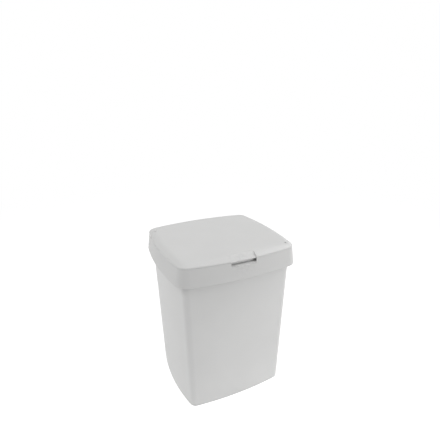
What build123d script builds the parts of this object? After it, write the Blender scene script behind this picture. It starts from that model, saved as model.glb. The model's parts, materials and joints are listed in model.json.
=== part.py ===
from build123d import *
from collections import namedtuple
from math import sqrt
import os

os.makedirs("parts", exist_ok=True)

# Lift-lid kitchen bin. Millimetres, +Z up, origin on the floor under its middle, front towards -Y.

# A bowed square: half sizes at the middle of each side, how far the sides bow out, and the corner radius.
Bowed = namedtuple("Bowed", "half_x half_y bow_x bow_y corner")

# Driving dimensions
lid_edge = Bowed(half_x=112.7, half_y=103.7, bow_x=8.9, bow_y=9.7, corner=18.9)
base_edge = Bowed(half_x=100.0, half_y=91.0, bow_x=11.0, bow_y=6.3, corner=12.0)

body_height = 271.8
body_wall = 2.0
floor_thickness = 2.4
foot_height = 2.2
foot_width = 9.0
foot_radius = 1.5
mouth_inset = 5.2
rim_thickness = 2.0
rim_lip_wall = 1.6
rim_lip_drop = 7.0

collar_wall = 2.0
flange_thickness = 2.0
upstand_height = 6.2
skirt_depth = 31.4
skirt_flare = 4.0
skirt_radius = 0.8
throat_wall = 1.8
throat_depth = 18.0
throat_taper = 1.2

lid_wall = 2.0
lid_rise = 9.7
lid_crown = 2.5
shoulder_drop = 8.6
shoulder_width = 15.0
shoulder_blend = 20.0
crown_cut = 1.0
lid_edge_radius = 2.0
rib_inset = 5.5
rib_wall = 1.8
rib_drop = 2.2

notch_width = 46.0
notch_corner = 1.2
sill_bevel = 1.9
sill_run = 2.95
lip_set_back = 1.5
lip_drop = 0.8
lip_thickness = 1.0
facet_reach = 15.5
pad_border = 3.0
pocket_overlap = 6.0

dimple_radius = 2.2
dimple_depth = 1.2
left_dimple = (-97.0, 68.6)
right_dimple = (91.0, -85.0)

hinge_spread = 70.0
hinge_arm_width = 5.0
hinge_arm_height = 4.5
hinge_arm_reach = 16.0
hinge_barrel_radius = 3.2
hinge_pin_radius = 1.8
hinge_pin_length = 6.5
hinge_toe_height = 3.4
hinge_lug_width = 6.0
hinge_lug_radius = 4.0
hinge_lug_foot = 7.0
hinge_lug_rise = 2.0
hinge_drop = 5.5
open_angle = 100.0

# Clearances, how far a joined piece is let into its neighbour, and how far a cut runs past a face
seat_gap = 0.3
rim_gap = 0.6
throat_gap = 0.5
pin_gap = 0.08
side_gap = 0.5
notch_gap = 0.9
barrel_gap = 0.5
stop_gap = 0.15
finger_gap = 0.5
pocket_gap = 0.6
root = 0.8
overrun = 4.0

# Heights and places worked out from them
flange_top = body_height + flange_thickness
seam = flange_top + upstand_height
sill_foot = flange_top - sill_bevel
skirt_bottom = seam - skirt_depth
throat_bottom = body_height - throat_depth
lid_bottom = seam + seat_gap
lid_top = lid_bottom + lid_rise
lip_bottom = lid_bottom - lip_drop
pocket_bottom = flange_top + finger_gap
front_y = -lid_edge.half_y
arm_bottom = lid_bottom - hinge_arm_height
floor_top = foot_height + floor_thickness
crown_radius = lid_edge.half_x**2 / (2 * lid_crown)
throat_inset = mouth_inset + body_wall + throat_gap


def corner_points(edge, inset):
    """Start, middle and end of the +X +Y corner arc, which touches the bowed arcs of both sides."""
    chord_x = edge.half_x - edge.bow_x
    chord_y = edge.half_y - edge.bow_y
    radius_x = (chord_y**2 + edge.bow_x**2) / (2 * edge.bow_x)
    radius_y = (chord_x**2 + edge.bow_y**2) / (2 * edge.bow_y)
    centre_x = Vector(edge.half_x - radius_x, 0)
    centre_y = Vector(0, edge.half_y - radius_y)
    reach_x = radius_x - edge.corner
    reach_y = radius_y - edge.corner
    line = centre_x - centre_y
    along = (reach_y**2 - reach_x**2 + line.length**2) / (2 * line.length)
    across = sqrt(reach_y**2 - along**2)
    unit = line.normalized()
    corner = centre_y + unit * along + Vector(unit.Y, -unit.X) * across
    to_x = (corner - centre_x).normalized()
    to_y = (corner - centre_y).normalized()
    start = centre_x + to_x * (radius_x - inset)
    end = centre_y + to_y * (radius_y - inset)
    middle = corner + (to_x + to_y).normalized() * (edge.corner - inset)
    return [(point.X, point.Y) for point in (start, middle, end)]


def bowed_arcs(edge, inset=0.0):
    """Eight tangent arcs round a bowed square, all drawn inwards by the inset."""
    quarter = corner_points(edge, inset)
    corners = []
    for right, back in ((1, 1), (-1, 1), (-1, -1), (1, -1)):
        corner = [(x * right, y * back) for x, y in quarter]
        corners.append(corner if right == back else corner[::-1])
    side_x = edge.half_x - inset
    side_y = edge.half_y - inset
    middles = [(0, side_y), (-side_x, 0), (0, -side_y), (side_x, 0)]
    for index, corner in enumerate(corners):
        following = corners[(index + 1) % len(corners)]
        ThreePointArc(*corner)
        ThreePointArc(corner[-1], middles[index], following[0])


def level(edge, height, inset=0.0):
    """A bowed square filled in at one height."""
    with BuildSketch(Plane.XY.offset(height)) as profile:
        with BuildLine():
            bowed_arcs(edge, inset)
        make_face()
    return profile.sketch


def flare(height):
    """How far the skirt stands out from the lid's edge at one height."""
    return skirt_flare * (seam - height) / skirt_depth


def back_y(x, outset=0.0):
    """Y of the back of the lid's edge at one X, or of a line that stands out from it."""
    chord = lid_edge.half_x - lid_edge.bow_x
    radius = (chord**2 + lid_edge.bow_y**2) / (2 * lid_edge.bow_y)
    return lid_edge.half_y - radius + sqrt((radius + outset) ** 2 - x**2)


# The hinge runs along X, just behind the collar's wall, on a line through both barrels.
axis_z = seam - hinge_drop
arm_inner_x = hinge_spread - hinge_arm_width / 2
arm_outer_x = hinge_spread + hinge_arm_width / 2
lug_inner_x = arm_outer_x + side_gap
lug_outer_x = lug_inner_x + hinge_lug_width
wall_at_arm = back_y(arm_inner_x, flare(axis_z))
wall_at_toe = back_y(arm_inner_x, flare(axis_z - hinge_toe_height))
axis_y = wall_at_arm + barrel_gap + hinge_barrel_radius


# The bucket: tapered, with a foot ring, an outward rim and a lip that turns down from it.
rim_inset = collar_wall - flare(body_height) + rim_gap
with BuildPart() as bin_body:
    loft([level(base_edge, 0), level(lid_edge, body_height, mouth_inset)], ruled=True)
    fillet(bin_body.faces().sort_by(Axis.Z)[0].edges(), foot_radius)
    with BuildSketch(Plane.XY.offset(body_height - rim_lip_drop)):
        with BuildLine():
            bowed_arcs(lid_edge, rim_inset)
        make_face()
    extrude(amount=rim_lip_drop)
    with BuildSketch(Plane.XY.offset(body_height - rim_lip_drop)):
        with BuildLine():
            bowed_arcs(lid_edge, rim_inset + rim_lip_wall)
        make_face()
        with BuildLine():
            bowed_arcs(lid_edge, mouth_inset)
        make_face(mode=Mode.SUBTRACT)
    extrude(amount=rim_lip_drop - rim_thickness, mode=Mode.SUBTRACT)
    loft(
        [level(base_edge, floor_top, body_wall), level(lid_edge, body_height, mouth_inset + body_wall)],
        ruled=True,
        mode=Mode.SUBTRACT,
    )
    add(level(base_edge, 0, foot_width))
    extrude(amount=foot_height, mode=Mode.SUBTRACT)
bin_body.part.label = "bin_body"


# The bevel on the sill of the finger notch: all that stands outside a slope from the skirt up to the flange
with BuildPart() as sill_cut:
    with BuildSketch(Plane.XY.offset(sill_foot)):
        with Locations((0, front_y)):
            Rectangle(notch_width - 2 * notch_corner, 2 * overrun)
    extrude(amount=sill_bevel)
    loft(
        [
            level(lid_edge, sill_foot, -flare(sill_foot)),
            level(lid_edge, flange_top, sill_run - flare(flange_top)),
        ],
        ruled=True,
        mode=Mode.SUBTRACT,
    )


# The collar: a flared skirt outside the rim, a flange on the rim, a throat in the mouth, and an upstand
# that the lid lies on.
with BuildPart() as collar:
    loft([level(lid_edge, skirt_bottom, -skirt_flare), level(lid_edge, seam)], ruled=True)
    fillet(collar.faces().sort_by(Axis.Z)[0].edges(), skirt_radius)
    loft(
        [
            level(lid_edge, skirt_bottom, collar_wall - skirt_flare),
            level(lid_edge, body_height, collar_wall - flare(body_height)),
        ],
        ruled=True,
        mode=Mode.SUBTRACT,
    )
    loft(
        [level(lid_edge, flange_top, collar_wall - flare(flange_top)), level(lid_edge, seam, collar_wall)],
        ruled=True,
        mode=Mode.SUBTRACT,
    )
    loft(
        [
            level(lid_edge, throat_bottom, throat_inset + throat_taper),
            level(lid_edge, body_height, throat_inset),
        ],
        ruled=True,
    )
    loft(
        [
            level(lid_edge, throat_bottom, throat_inset + throat_taper + throat_wall),
            level(lid_edge, flange_top, throat_inset + throat_wall),
        ],
        ruled=True,
        mode=Mode.SUBTRACT,
    )
    # Finger notch through the upstand, in the middle of the front, down to the flange
    with BuildSketch(Plane.XZ.offset(lid_edge.half_y - rib_inset)):
        with Locations((0, flange_top)):
            notch = Rectangle(notch_width, upstand_height + overrun, align=(Align.CENTER, Align.MIN))
        fillet(notch.vertices().group_by(Axis.Y)[0], notch_corner)
    extrude(amount=rib_inset + overrun, mode=Mode.SUBTRACT)
    add(sill_cut.part, mode=Mode.SUBTRACT)
    # Slots in the back of the upstand for the lid's arms, and the lugs beside them
    for side in (-1, 1):
        with BuildSketch(Plane.XY.offset(arm_bottom - notch_gap)):
            with Locations((side * hinge_spread, wall_at_arm)):
                Rectangle(hinge_arm_width + 2 * side_gap, 2 * overrun)
        extrude(amount=hinge_arm_height + notch_gap, mode=Mode.SUBTRACT)
        with BuildSketch(Plane.YZ.offset(side * (lug_inner_x + lug_outer_x) / 2)):
            with Locations((axis_y, axis_z)):
                Circle(hinge_lug_radius)
            with Locations((back_y(lug_outer_x, flare(axis_z)) - root, axis_z + hinge_lug_rise)):
                Rectangle(root, hinge_lug_foot, align=(Align.MIN, Align.MAX))
            make_hull()
            with Locations((axis_y, axis_z)):
                Circle(hinge_pin_radius + pin_gap, mode=Mode.SUBTRACT)
        extrude(amount=hinge_lug_width / 2, both=True)
collar.part.label = "collar"


# One hinge arm of the lid, seen from the side: a bar under the lid, the barrel, and the toe that stops
# the lid.
with BuildSketch(Plane.YZ) as arm_side:
    with Locations((axis_y, axis_z)):
        Circle(hinge_barrel_radius)
        Rectangle(
            axis_y - wall_at_toe - stop_gap,
            hinge_toe_height,
            rotation=open_angle,
            align=(Align.MAX, Align.MAX),
        )
    with BuildLine():
        Polyline(
            (back_y(hinge_spread) - hinge_arm_reach, arm_bottom),
            (axis_y, arm_bottom),
            (axis_y, axis_z + hinge_barrel_radius),
            (back_y(hinge_spread) - root, lid_bottom),
            (back_y(hinge_spread) - hinge_arm_reach, lid_bottom),
            close=True,
        )
    make_face()


def pillow(inset, rise, height):
    """A bowed block up to a crowned top, with a sloping shoulder cut all round it."""
    with BuildPart() as block:
        add(level(lid_edge, height, inset))
        extrude(amount=lid_bottom + rise + crown_cut - height)
        chamfer(block.faces().sort_by(Axis.Z)[-1].edges(), length=shoulder_drop, length2=shoulder_width)
        with Locations((0, 0, lid_bottom + rise - crown_radius)):
            Sphere(crown_radius, rotation=(90, 0, 0), mode=Mode.INTERSECT)
    return block.part


# The hollow under the lid. The rib, the pad behind the finger facet and the hinge arms stay standing in it.
pad_depth = facet_reach + pad_border
with BuildPart() as lid_hollow:
    add(pillow(lid_wall, lid_rise - lid_wall, lid_bottom - lid_wall))
    with BuildSketch(Plane.XY.offset(lid_bottom - lid_wall)):
        with BuildLine():
            bowed_arcs(lid_edge, rib_inset)
        make_face()
        with BuildLine():
            bowed_arcs(lid_edge, rib_inset + rib_wall)
        make_face(mode=Mode.SUBTRACT)
        with Locations((0, front_y)):
            Rectangle(notch_width + 2 * pad_border, pad_depth, align=(Align.CENTER, Align.MIN))
        for side in (-1, 1):
            with Locations((side * hinge_spread, back_y(hinge_spread))):
                Rectangle(hinge_arm_width, hinge_arm_reach, align=(Align.CENTER, Align.MAX))
    extrude(amount=lid_wall + lid_rise, mode=Mode.SUBTRACT)


# The lid: a crowned shell that lies on the upstand, with a rib underneath and its hinge behind.
lip_width = notch_width - 2 * notch_gap
pocket_width = notch_width + 2 * pocket_overlap
with BuildPart() as lid_flap:
    add(pillow(0, lid_rise, lid_bottom))
    fillet(lid_flap.faces().sort_by(Axis.Z)[-1].edges(), shoulder_blend)
    shoulder_foot = lid_top + crown_cut - shoulder_drop
    low_edges = lid_flap.edges().filter_by(lambda edge: abs(edge.center().Z - shoulder_foot) < pin_gap)
    fillet(low_edges, lid_edge_radius)
    # The lip over the finger notch, and the flat facet that slopes across the front shoulder down to it
    with BuildSketch(Plane.XY.offset(lip_bottom)):
        with Locations((0, front_y + lip_set_back)):
            Rectangle(lip_width, rib_inset + root - lip_set_back, align=(Align.CENTER, Align.MIN))
    extrude(amount=lip_drop)
    with BuildSketch(Plane.YZ):
        with BuildLine():
            Polyline(
                (front_y - overrun, lip_bottom - overrun),
                (front_y + lip_set_back, lip_bottom - overrun),
                (front_y + lip_set_back, lip_bottom + lip_thickness),
                (front_y + facet_reach, lid_top),
                (front_y - overrun, lid_top),
                close=True,
            )
        make_face()
    extrude(amount=notch_width / 2, both=True, mode=Mode.SUBTRACT)
    for spot in (left_dimple, right_dimple):
        top_z = lid_top - crown_radius + sqrt(crown_radius**2 - spot[0] ** 2 - spot[1] ** 2)
        with BuildSketch(Plane.XY.offset(top_z - dimple_depth)):
            with Locations(spot):
                Circle(dimple_radius)
        extrude(amount=lid_rise, mode=Mode.SUBTRACT)
    add(lid_hollow.part, mode=Mode.SUBTRACT)
    with BuildSketch(Plane.XY.offset(lid_bottom - rib_drop)):
        with BuildLine():
            bowed_arcs(lid_edge, rib_inset)
        make_face()
        with BuildLine():
            bowed_arcs(lid_edge, rib_inset + rib_wall)
        make_face(mode=Mode.SUBTRACT)
    extrude(amount=rib_drop)
    # Finger pocket behind the lip: the rib hangs down to the flange there, and its ends turn forward
    with BuildSketch(Plane.XY.offset(pocket_bottom)):
        with BuildLine():
            bowed_arcs(lid_edge, collar_wall + pocket_gap)
        make_face()
        with BuildLine():
            bowed_arcs(lid_edge, rib_inset + rib_wall)
        make_face(mode=Mode.SUBTRACT)
        with Locations((0, front_y)):
            Rectangle(pocket_width, pad_depth, align=(Align.CENTER, Align.MIN), mode=Mode.INTERSECT)
    extrude(amount=lid_bottom - pocket_bottom)
    with BuildSketch(Plane.XY.offset(pocket_bottom)):
        with BuildLine():
            bowed_arcs(lid_edge)
        make_face()
        with BuildLine():
            bowed_arcs(lid_edge, rib_inset)
        make_face(mode=Mode.SUBTRACT)
        with Locations((0, front_y)):
            Rectangle(pocket_width - 2 * rib_wall, pad_depth, mode=Mode.INTERSECT)
    extrude(amount=lip_bottom - pocket_bottom, mode=Mode.SUBTRACT)
    for side in (-1, 1):
        with BuildSketch(Plane.YZ.offset(side * hinge_spread)):
            add(arm_side.sketch_local)
        extrude(amount=hinge_arm_width / 2, both=True)
        with BuildSketch(Plane.YZ.offset(side * hinge_spread)):
            with Locations((axis_y, axis_z)):
                Circle(hinge_pin_radius)
        extrude(amount=side * (hinge_arm_width / 2 + hinge_pin_length))
lid_flap.part.label = "lid_flap"


for piece in (bin_body, collar, lid_flap):
    export_step(piece.part, f"parts/{piece.part.label}.step")
    print(piece.part.label, piece.part.bounding_box())
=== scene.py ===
import json
import math

import bpy
import numpy as np
from mathutils import Matrix, Vector

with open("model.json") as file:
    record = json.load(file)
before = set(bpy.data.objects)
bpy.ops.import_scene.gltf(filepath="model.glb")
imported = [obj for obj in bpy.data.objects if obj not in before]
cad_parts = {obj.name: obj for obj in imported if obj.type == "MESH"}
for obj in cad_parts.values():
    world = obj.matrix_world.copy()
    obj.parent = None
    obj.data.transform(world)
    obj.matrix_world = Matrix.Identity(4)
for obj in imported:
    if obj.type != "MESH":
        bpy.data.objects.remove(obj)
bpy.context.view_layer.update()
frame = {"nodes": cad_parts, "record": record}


# Bucket. One deep tapered moulding in pale grey polypropylene, drawn off its core upwards, so its walls
# lean out to the rim. The spark-eroded mould leaves a fine satin grain, and floors rub the foot ring dull.
BUCKET_GREY = (0.622, 0.622, 0.617)
FOOT_RUB = 0.007

# The plastic of all three mouldings. Each kind of noise has its cells to the metre and its finer octaves.
CLOUDS = (14.0, 3.0)
PATCHES = (70.0, 4.0)
SCUFFS = (260.0, 5.0)
GRAIN = (1400.0, 2.0)
SEED_SHIFT = (1.0, 0.37, 0.71)
CLOUD_DEPTH = 0.012
CLOUD_EDGES = (0.3, 0.7)
SCUFF_EDGES = (0.42, 0.62)
SCUFF_SHADE = 0.86
SATIN = 0.45
PATCH_DULLING = 0.1
SCUFF_DULLING = 0.12
GRAIN_HEIGHT = 0.00005
GRAIN_STRENGTH = 0.4
PLASTIC_IOR = 1.49
SPECULAR = 0.4


class Value:
    """A node socket that takes part in sums: each operator adds the Math node that works it out."""

    def __init__(self, tree, socket=None):
        self.tree = tree
        self.socket = socket

    def node(self, kind, settings, inputs, output=0):
        """Adds one node: its settings, then each input by name or number, as a link or a plain value."""
        new = self.tree.nodes.new(kind)
        for key, setting in settings.items():
            setattr(new, key, setting)
        for key, value in inputs.items():
            if isinstance(value, Value):
                self.tree.links.new(value.socket, new.inputs[key])
            else:
                new.inputs[key].default_value = value
        return Value(self.tree, new.outputs[output] if new.outputs else None)

    def math(self, operation, *values):
        return self.node("ShaderNodeMath", {"operation": operation}, dict(enumerate(values)))

    def __add__(self, other):
        return self.math("ADD", self, other)

    def __radd__(self, other):
        return self.math("ADD", other, self)

    def __sub__(self, other):
        return self.math("SUBTRACT", self, other)

    def __rsub__(self, other):
        return self.math("SUBTRACT", other, self)

    def __mul__(self, other):
        return self.math("MULTIPLY", self, other)

    def __rmul__(self, other):
        return self.math("MULTIPLY", other, self)

    def smooth(self, low, high):
        """0 below low, 1 above high, and a smooth step between them."""
        return self.node(
            "ShaderNodeMapRange",
            {"interpolation_type": "SMOOTHSTEP"},
            {"Value": self, "From Min": low, "From Max": high, "To Min": 0.0, "To Max": 1.0},
        )

    def noise(self, cells, octaves):
        """Noise from 0 to 1, with cells to the metre and finer octaves in them; this value is the place."""
        return self.node("ShaderNodeTexNoise", {}, {"Vector": self, "Scale": cells, "Detail": octaves})

    def near(self, spot, reach):
        """1 at a spot, falling smoothly to 0 at reach from it; this value is the place on the object."""
        apart = self.node("ShaderNodeVectorMath", {"operation": "DISTANCE"}, {0: self, 1: spot}, "Value")
        return 1 - apart.smooth(0.0, reach)


def new_material(name):
    """An empty node material, and the value that its first nodes grow from."""
    material = bpy.data.materials.new(name)
    material.use_nodes = True
    material.node_tree.nodes.clear()
    return material, Value(material.node_tree)


def satin_polypropylene(name, grey, seed, worn):
    """Moulded polypropylene. Its grey drifts by a percent in soft clouds, its grain is a fine bump, and its
    gloss is patchy. What worn gives for a place, from 0 to 1, is rubbed darker and duller, in scuffs."""
    material, start = new_material(name)
    place = start.node("ShaderNodeTexCoord", {}, {}, "Object")
    shift = tuple(seed * share for share in SEED_SHIFT)
    moved = start.node("ShaderNodeMapping", {}, {"Vector": place, "Location": shift})
    clouds = moved.noise(*CLOUDS)
    grain = moved.noise(*GRAIN)
    patches = moved.noise(*PATCHES)
    scuffs = moved.noise(*SCUFFS)
    rubbed = worn(place) * scuffs.smooth(*SCUFF_EDGES)
    deep = tuple(c * (1 - CLOUD_DEPTH) for c in grey) + (1.0,)
    pale = tuple(c * (1 + CLOUD_DEPTH) for c in grey) + (1.0,)
    scuffed = tuple(c * SCUFF_SHADE for c in grey) + (1.0,)
    mix = {"data_type": "RGBA"}
    clean = start.node("ShaderNodeMix", mix, {0: clouds.smooth(*CLOUD_EDGES), 6: deep, 7: pale}, 2)
    colour = start.node("ShaderNodeMix", mix, {0: rubbed, 6: clean, 7: scuffed}, 2)
    relief = {"Height": grain * GRAIN_HEIGHT, "Strength": GRAIN_STRENGTH, "Distance": 1.0}
    bump = start.node("ShaderNodeBump", {}, relief)
    surface = start.node(
        "ShaderNodeBsdfPrincipled",
        {},
        {
            "Base Color": colour,
            "Roughness": SATIN + patches * PATCH_DULLING + rubbed * SCUFF_DULLING,
            "Normal": bump,
            "IOR": PLASTIC_IOR,
            "Specular IOR Level": SPECULAR,
        },
    )
    start.node("ShaderNodeOutputMaterial", {}, {"Surface": surface})
    return material


def rubbed_foot(place):
    """1 on the floor, falling to 0 a few millimetres above it."""
    height = place.node("ShaderNodeSeparateXYZ", {}, {"Vector": place}, "Z")
    return 1 - height.smooth(0.0, FOOT_RUB)


bucket_plastic = satin_polypropylene("bucket_polypropylene", BUCKET_GREY, 1.3, rubbed_foot)
frame["nodes"]["bin_body"].data.materials[0] = bucket_plastic


# Collar. A separate frame of the same plastic that presses down over the bucket's rim and holds a bag.
# Its flared skirt hides the rim, and the lid lies on its upstand. Fingers rub the sill of its notch.
# The collar is the bucket's plastic, but its grey is painted some 7 percent darker, as painted shade on its
# skirt.
COLLAR_SHADED_GREY = (0.577, 0.577, 0.572)
notch = next(box for box in frame["record"]["physics"]["openings"] if box["name"] == "finger_notch")
notch_low, notch_high = (Vector(corner) for corner in notch["box_m"])
NOTCH = (notch_low + notch_high) / 2
TOUCH_REACH = 0.03
TOUCH_WEAR = 0.6


def touched_notch(place):
    """Wear at the finger notch, falling to 0 a finger's width and a half away."""
    return place.near(NOTCH, TOUCH_REACH) * TOUCH_WEAR


collar_plastic = satin_polypropylene("collar_shaded_polypropylene", COLLAR_SHADED_GREY, 4.1, touched_notch)
frame["nodes"]["collar"].data.materials[0] = collar_plastic


# Lid. A crowned shell with a sloping shoulder, hung behind on two pins that are moulded with it. In front a
# flat finger facet runs down to a thin lip over the notch, and the shell is rubbed a little there.
LID_GREY = (0.618, 0.618, 0.613)
lid_plastic = satin_polypropylene("lid_polypropylene", LID_GREY, 7.7, touched_notch)
frame["nodes"]["lid_flap"].data.materials[0] = lid_plastic


# Floor. A wide sheet of white card that the bin stands on. It takes the bin's faint shadow, throws light up
# its walls, glows round the bin as a painted light that brightens the bin's lower walls, and fades into the
# white behind it.
FLOOR_RADIUS = 6.0
FLOOR_SIDES = 96
WHITE = (1.0, 1.0, 1.0, 1.0)
UNDER_BIN = (0.0, 0.0, 0.0)
GLOW = 0.26
GLOW_RADIUS = 0.65
FADE_RADIUS = 1.6
CARD = (0.92, 0.92, 0.92, 1.0)
SEEN_CARD = (0.4, 0.4, 0.4, 1.0)
SEEN_LIFT = 0.83


def disc(name, radius, sides):
    """A flat disc on z = 0: one ring of points at equal angles, filled by a single face that looks up."""
    angle = np.linspace(0, 2 * math.pi, sides, endpoint=False)
    ring = np.column_stack([radius * np.cos(angle), radius * np.sin(angle), np.zeros(sides)])
    mesh = bpy.data.meshes.new(name)
    mesh.from_pydata(ring.tolist(), [], [list(range(sides))])
    made = bpy.data.objects.new(name, mesh)
    bpy.context.scene.collection.objects.link(made)
    return made


def looked_at(start):
    """1 where the camera, a reflection or clear plastic looks, and 0 where light only falls."""
    kinds = ("Is Camera Ray", "Is Glossy Ray", "Is Transmission Ray")
    camera, gloss, through = [start.node("ShaderNodeLightPath", {}, {}, kind) for kind in kinds]
    return camera + gloss + through


def white_card():
    """Diffuse white card that glows round the bin, a painted light on the bin's lower walls. Looked at, it
    is lifted to white under its shadow, and further off it is plain white."""
    material, start = new_material("white_card")
    place = start.node("ShaderNodeTexCoord", {}, {}, "Object")
    paper = start.node("ShaderNodeBsdfDiffuse", {}, {"Color": CARD})
    # Painted light: round the bin the card glows, which no camera sees, to brighten the bin's lower walls.
    glow = start.node("ShaderNodeEmission", {}, {"Color": WHITE, "Strength": GLOW})
    glowing = start.node("ShaderNodeAddShader", {}, {0: paper, 1: glow})
    near_bin = place.near(UNDER_BIN, GLOW_RADIUS)
    card = start.node("ShaderNodeMixShader", {}, {0: near_bin, 1: paper, 2: glowing})
    shade = start.node("ShaderNodeBsdfDiffuse", {}, {"Color": SEEN_CARD})
    lift = start.node("ShaderNodeEmission", {}, {"Color": WHITE, "Strength": SEEN_LIFT})
    lifted = start.node("ShaderNodeAddShader", {}, {0: shade, 1: lift})
    white = start.node("ShaderNodeEmission", {}, {"Color": WHITE, "Strength": 1.0})
    in_view = place.near(UNDER_BIN, FADE_RADIUS)
    seen = start.node("ShaderNodeMixShader", {}, {0: in_view, 1: white, 2: lifted})
    both = start.node("ShaderNodeMixShader", {}, {0: looked_at(start), 1: card, 2: seen})
    start.node("ShaderNodeOutputMaterial", {}, {"Surface": both})
    return material


floor = disc("floor", FLOOR_RADIUS, FLOOR_SIDES)
floor.data.materials.append(white_card())


# Light. White walls all round give most of it. A large soft box hangs on each side of the bin, and two more
# stand off its right front corner, one high and one low, so that the walls round that corner stay pale.
WALL_LIGHT = 0.347
BIN_MIDDLE = Vector((0, 0, 0.15))
BOX_DISTANCE = 1.7
BOX_SIZE = 1.0

# Each box's turn to the right of the bin's front and rise above the floor in degrees, and its power in watts
SOFT_BOXES = {
    "left_box": (-90, 45, 12.2),
    "right_box": (90, 45, 8.4),
    "high_box": (45, 50, 3.2),
    "low_box": (45, 15, 8.8),
}


def studio_walls():
    """An even world for lighting, which is plain white where it is looked at."""
    world = bpy.data.worlds.new("studio_walls")
    bpy.context.scene.world = world
    world.use_nodes = True
    world.node_tree.nodes.clear()
    start = Value(world.node_tree)
    walls = start.node("ShaderNodeBackground", {}, {"Color": WHITE, "Strength": WALL_LIGHT})
    white = start.node("ShaderNodeBackground", {}, {"Color": WHITE, "Strength": 1.0})
    both = start.node("ShaderNodeMixShader", {}, {0: looked_at(start), 1: walls, 2: white})
    start.node("ShaderNodeOutputWorld", {}, {"Surface": both})


def facing(turn, rise):
    """The unit vector from the bin out to a place that is turned round +Z and raised above the floor."""
    return Vector((math.sin(turn) * math.cos(rise), -math.cos(turn) * math.cos(rise), math.sin(rise)))


def soft_box(name, turn, rise, power):
    """A square lamp that faces the middle of the bin."""
    lamp = bpy.data.lights.new(name, "AREA")
    lamp.shape = "SQUARE"
    lamp.size = BOX_SIZE
    lamp.energy = power
    made = bpy.data.objects.new(name, lamp)
    bpy.context.scene.collection.objects.link(made)
    outward = facing(math.radians(turn), math.radians(rise))
    made.location = BIN_MIDDLE + BOX_DISTANCE * outward
    made.rotation_euler = (-outward).to_track_quat("-Z", "Y").to_euler()


studio_walls()
for name, (turn, rise, power) in SOFT_BOXES.items():
    soft_box(name, turn, rise, power)


# Camera. It stands in front and to the left of the bin and looks down over it, as for a catalogue picture.
# It aims past the bin, a little to one side and well above it, which puts the bin where the photo has it.
CAMERA_TURN = math.radians(-24.515)
CAMERA_RISE = math.radians(32.093)
CAMERA_DISTANCE = 0.718773
CAMERA_TARGET = Vector((0, 0, 0.145))
AIM_RIGHT = math.radians(-0.489)
AIM_UP = math.radians(-12.969)
TILT = math.radians(0.293)
FOCAL = 29.149
SENSOR = 36.0

camera_data = bpy.data.cameras.new("photo_camera")
camera_data.lens = FOCAL
camera_data.sensor_width = SENSOR
camera_data.sensor_fit = "HORIZONTAL"
camera = bpy.data.objects.new("photo_camera", camera_data)
bpy.context.scene.collection.objects.link(camera)

back = facing(CAMERA_TURN + AIM_RIGHT, CAMERA_RISE + AIM_UP)
right = Vector((math.cos(CAMERA_TURN + AIM_RIGHT), math.sin(CAMERA_TURN + AIM_RIGHT), 0))
up = back.cross(right)
tilted_right = right * math.cos(TILT) - up * math.sin(TILT)
tilted_up = right * math.sin(TILT) + up * math.cos(TILT)
axes = Matrix((tilted_right, tilted_up, back)).transposed()
stand = CAMERA_TARGET + CAMERA_DISTANCE * facing(CAMERA_TURN, CAMERA_RISE)
camera.matrix_world = Matrix.Translation(stand) @ axes.to_4x4()
bpy.context.scene.camera = camera

bpy.context.scene.view_settings.view_transform = "Standard"
